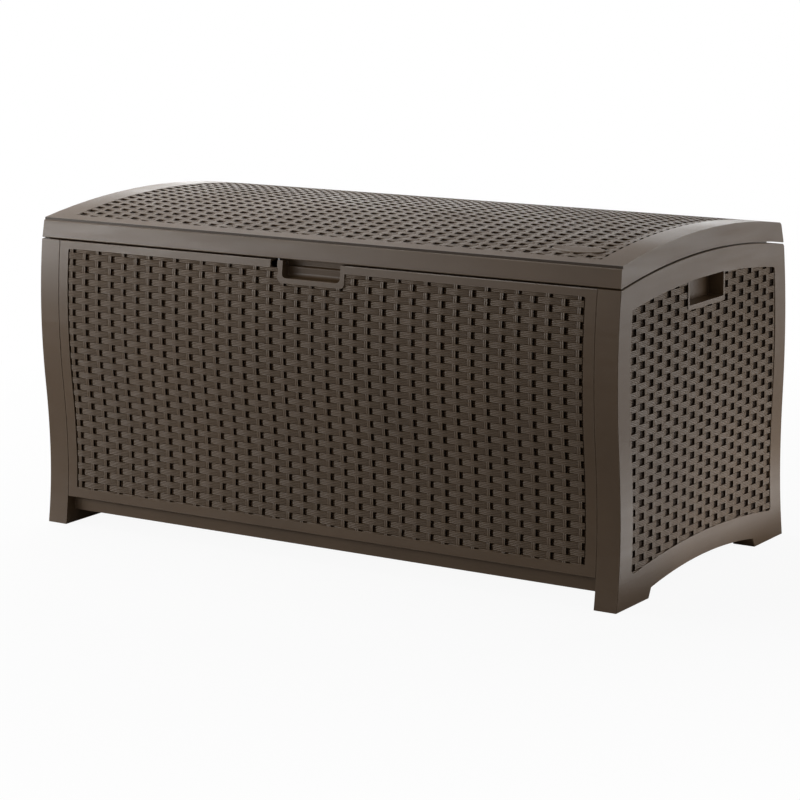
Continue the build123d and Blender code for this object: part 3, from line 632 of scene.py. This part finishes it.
# --- Steelwork: hinge pins, slotted lid stays with their studs, rivets and washers, lock tab and screws.
# All are zinc-plated steel. The pins run through the knuckles, the studs and rivets carry the stays, and the
# screws hold the panels, the floor and the lock tab.
ZINC = (0.52, 0.53, 0.54, 1)
ZINC_DULL = (0.33, 0.34, 0.35, 1)
ZINC_ROUGHNESS = (0.28, 0.46)


def zinc_steel():
    """Zinc plate: patches of crystal grain in colour and roughness, and fine rolling marks as bump."""
    material, tree, shader, place = material_base("zinc_plate")
    grain = add_node(tree, "ShaderNodeTexVoronoi", values={"Scale": 160.0}, links={"Vector": place})
    patch = add_node(tree, "ShaderNodeSeparateColor", links={"Color": grain.outputs["Color"]})
    tree.links.new(mixed(tree, patch.outputs["Red"], ZINC_DULL, ZINC), shader.inputs["Base Color"])
    rough = ranged(tree, patch.outputs["Green"], (0.0, 1.0), ZINC_ROUGHNESS)
    tree.links.new(rough, shader.inputs["Roughness"])
    fine = {"Scale": 700.0, "Detail": 3.0}
    marks = add_node(tree, "ShaderNodeTexNoise", values=fine, links={"Vector": place})
    rolled = embossed(tree, marks.outputs["Fac"], strength=0.2, distance=0.0002)
    tree.links.new(rolled, shader.inputs["Normal"])
    shader.inputs["Metallic"].default_value = 1.0
    return material


zinc_plate = zinc_steel()
for name in nodes:
    if not name.endswith(("_panel", "_shell")):
        finish_node(name, zinc_plate)


# --- Studio: a pale floor in a white surround, with soft boxes at the left front, right, left back and above.
# A box on the floor beside the right end stands for the light that a pale floor throws up at it.
WHITE = (1, 1, 1, 1)
FLOOR_GREY = (0.4, 0.4, 0.4, 1)
FLOOR_PALE = (0.85, 0.85, 0.85, 1)
FLOOR_SIZE = 60
WHITE_SHARE = (0.93, 1.0)
WHITE_REACH = (0.9, 2.2)
SURROUND_LEVEL = (0.18, 0.4)


def studio_floor():
    """Flat floor that takes the shadow softly: nearly white to the camera, and quite so further out."""
    bpy.ops.mesh.primitive_plane_add(size=FLOOR_SIZE, location=(0, 0, 0))
    floor = bpy.context.object
    floor.name = "studio_floor"
    material, tree, shader, place = material_base("studio_floor")
    shader.inputs["Roughness"].default_value = 0.9
    camera_ray = tree.nodes.new("ShaderNodeLightPath").outputs["Is Camera Ray"]
    tree.links.new(mixed(tree, camera_ray, FLOOR_GREY, FLOOR_PALE), shader.inputs["Base Color"])
    reach = add_node(tree, "ShaderNodeVectorMath", settings={"operation": "LENGTH"}, links={0: place})
    far = ranged(tree, reach.outputs["Value"], WHITE_REACH, WHITE_SHARE)
    share = worked_out(tree, "MULTIPLY", camera_ray, far)
    white = add_node(tree, "ShaderNodeEmission", values={"Color": WHITE, "Strength": 1.0})
    mix = add_node(
        tree,
        "ShaderNodeMixShader",
        links={0: share, 1: shader.outputs["BSDF"], 2: white.outputs["Emission"]},
    )
    tree.links.new(mix.outputs["Shader"], tree.nodes["Material Output"].inputs["Surface"])
    floor.data.materials.append(material)


def studio_world():
    """Even dim surround for the light, brighter in gloss, and white where the camera sees it."""
    world = bpy.data.worlds.new("studio")
    bpy.context.scene.world = world
    world.use_nodes = True
    tree = world.node_tree
    path = tree.nodes.new("ShaderNodeLightPath").outputs
    soft = tree.nodes["Background"]
    soft.inputs["Color"].default_value = WHITE
    level = ranged(tree, path["Is Glossy Ray"], (0.0, 1.0), SURROUND_LEVEL)
    tree.links.new(level, soft.inputs["Strength"])
    white = add_node(tree, "ShaderNodeBackground", values={"Color": WHITE, "Strength": 1.0})
    mix = add_node(
        tree,
        "ShaderNodeMixShader",
        links={0: path["Is Camera Ray"], 1: soft.outputs["Background"], 2: white.outputs["Background"]},
    )
    tree.links.new(mix.outputs["Shader"], tree.nodes["World Output"].inputs["Surface"])


def stand(fixture, right, up, back, place):
    """Puts a lamp or a camera at place, with its own x, y and z along right, up and back."""
    turned = np.eye(4)
    turned[:3] = np.stack([right, up, back, place], -1)
    fixture.matrix_world = Matrix(turned.tolist())
    bpy.context.scene.collection.objects.link(fixture)


def soft_light(name, place, target, size, power):
    """One rectangular soft box of size metres at place, aimed at target."""
    light = bpy.data.lights.new(name, "AREA")
    light.shape = "RECTANGLE"
    light.size, light.size_y = size
    light.energy = power
    aim = np.array(target, float) - np.array(place, float)
    back = -aim / np.linalg.norm(aim)
    right = np.cross((0, 0, 1), back)
    right /= np.linalg.norm(right)
    stand(bpy.data.objects.new(name, light), right, np.cross(back, right), back, place)


studio_floor()
studio_world()
soft_light("left_front_box", (-2.8, -1.9, 0.85), (-0.3, -0.3, 0.3), (1.6, 0.8), 30)
soft_light("left_low_box", (-1.85, -2.25, 0.98), (-0.1, -0.3, 0.6), (1.5, 0.25), 7)
soft_light("right_back_box", (2.4, 2.2, 0.35), (0.7, 0.0, 0.25), (1.8, 0.6), 7)
soft_light("right_box", (2.6, 0.9, 0.4), (0.7, 0.0, 0.25), (1.2, 0.7), 10)
soft_light("floor_glow", (0.9, 0.3, 0.01), (0.85, 0.3, 0.5), (1.0, 0.36), 2.1)
soft_light("left_back_box", (-1.75, 2.3, 0.95), (-0.1, 0.0, 0.66), (2.6, 0.6), 14)
soft_light("top_box", (-1.2, 0.2, 2.6), (-0.2, 0.0, 0.65), (2.0, 1.6), 42)


# --- Camera: a long lens at the front right, higher than the lid, and rolled by less than a degree.
# The azimuth is counted from straight ahead towards the right end, and the elevation from level.
CAMERA_PLACE = (3.0984, -4.6915, 1.4267)
AZIMUTH = math.radians(33.62)
ELEVATION = math.radians(11.59)
ROLL = math.radians(-0.668)
SENSOR_WIDTH = 36
LENS = 123.9
SIGHT = 100


def long_camera():
    """Camera that looks along -back, which azimuth and elevation give, with its level turned by the roll."""
    flat = math.cos(ELEVATION)
    back = np.array([math.sin(AZIMUTH) * flat, -math.cos(AZIMUTH) * flat, math.sin(ELEVATION)])
    level = np.array([math.cos(AZIMUTH), math.sin(AZIMUTH), 0.0])
    upright = np.cross(back, level)
    right = level * math.cos(ROLL) + upright * math.sin(ROLL)
    up = upright * math.cos(ROLL) - level * math.sin(ROLL)
    data = bpy.data.cameras.new("camera")
    data.sensor_width = SENSOR_WIDTH
    data.lens = LENS
    data.clip_end = SIGHT
    camera = bpy.data.objects.new("camera", data)
    stand(camera, right, up, back, CAMERA_PLACE)
    return camera


bpy.context.scene.camera = long_camera()
bpy.context.scene.view_settings.view_transform = "Standard"
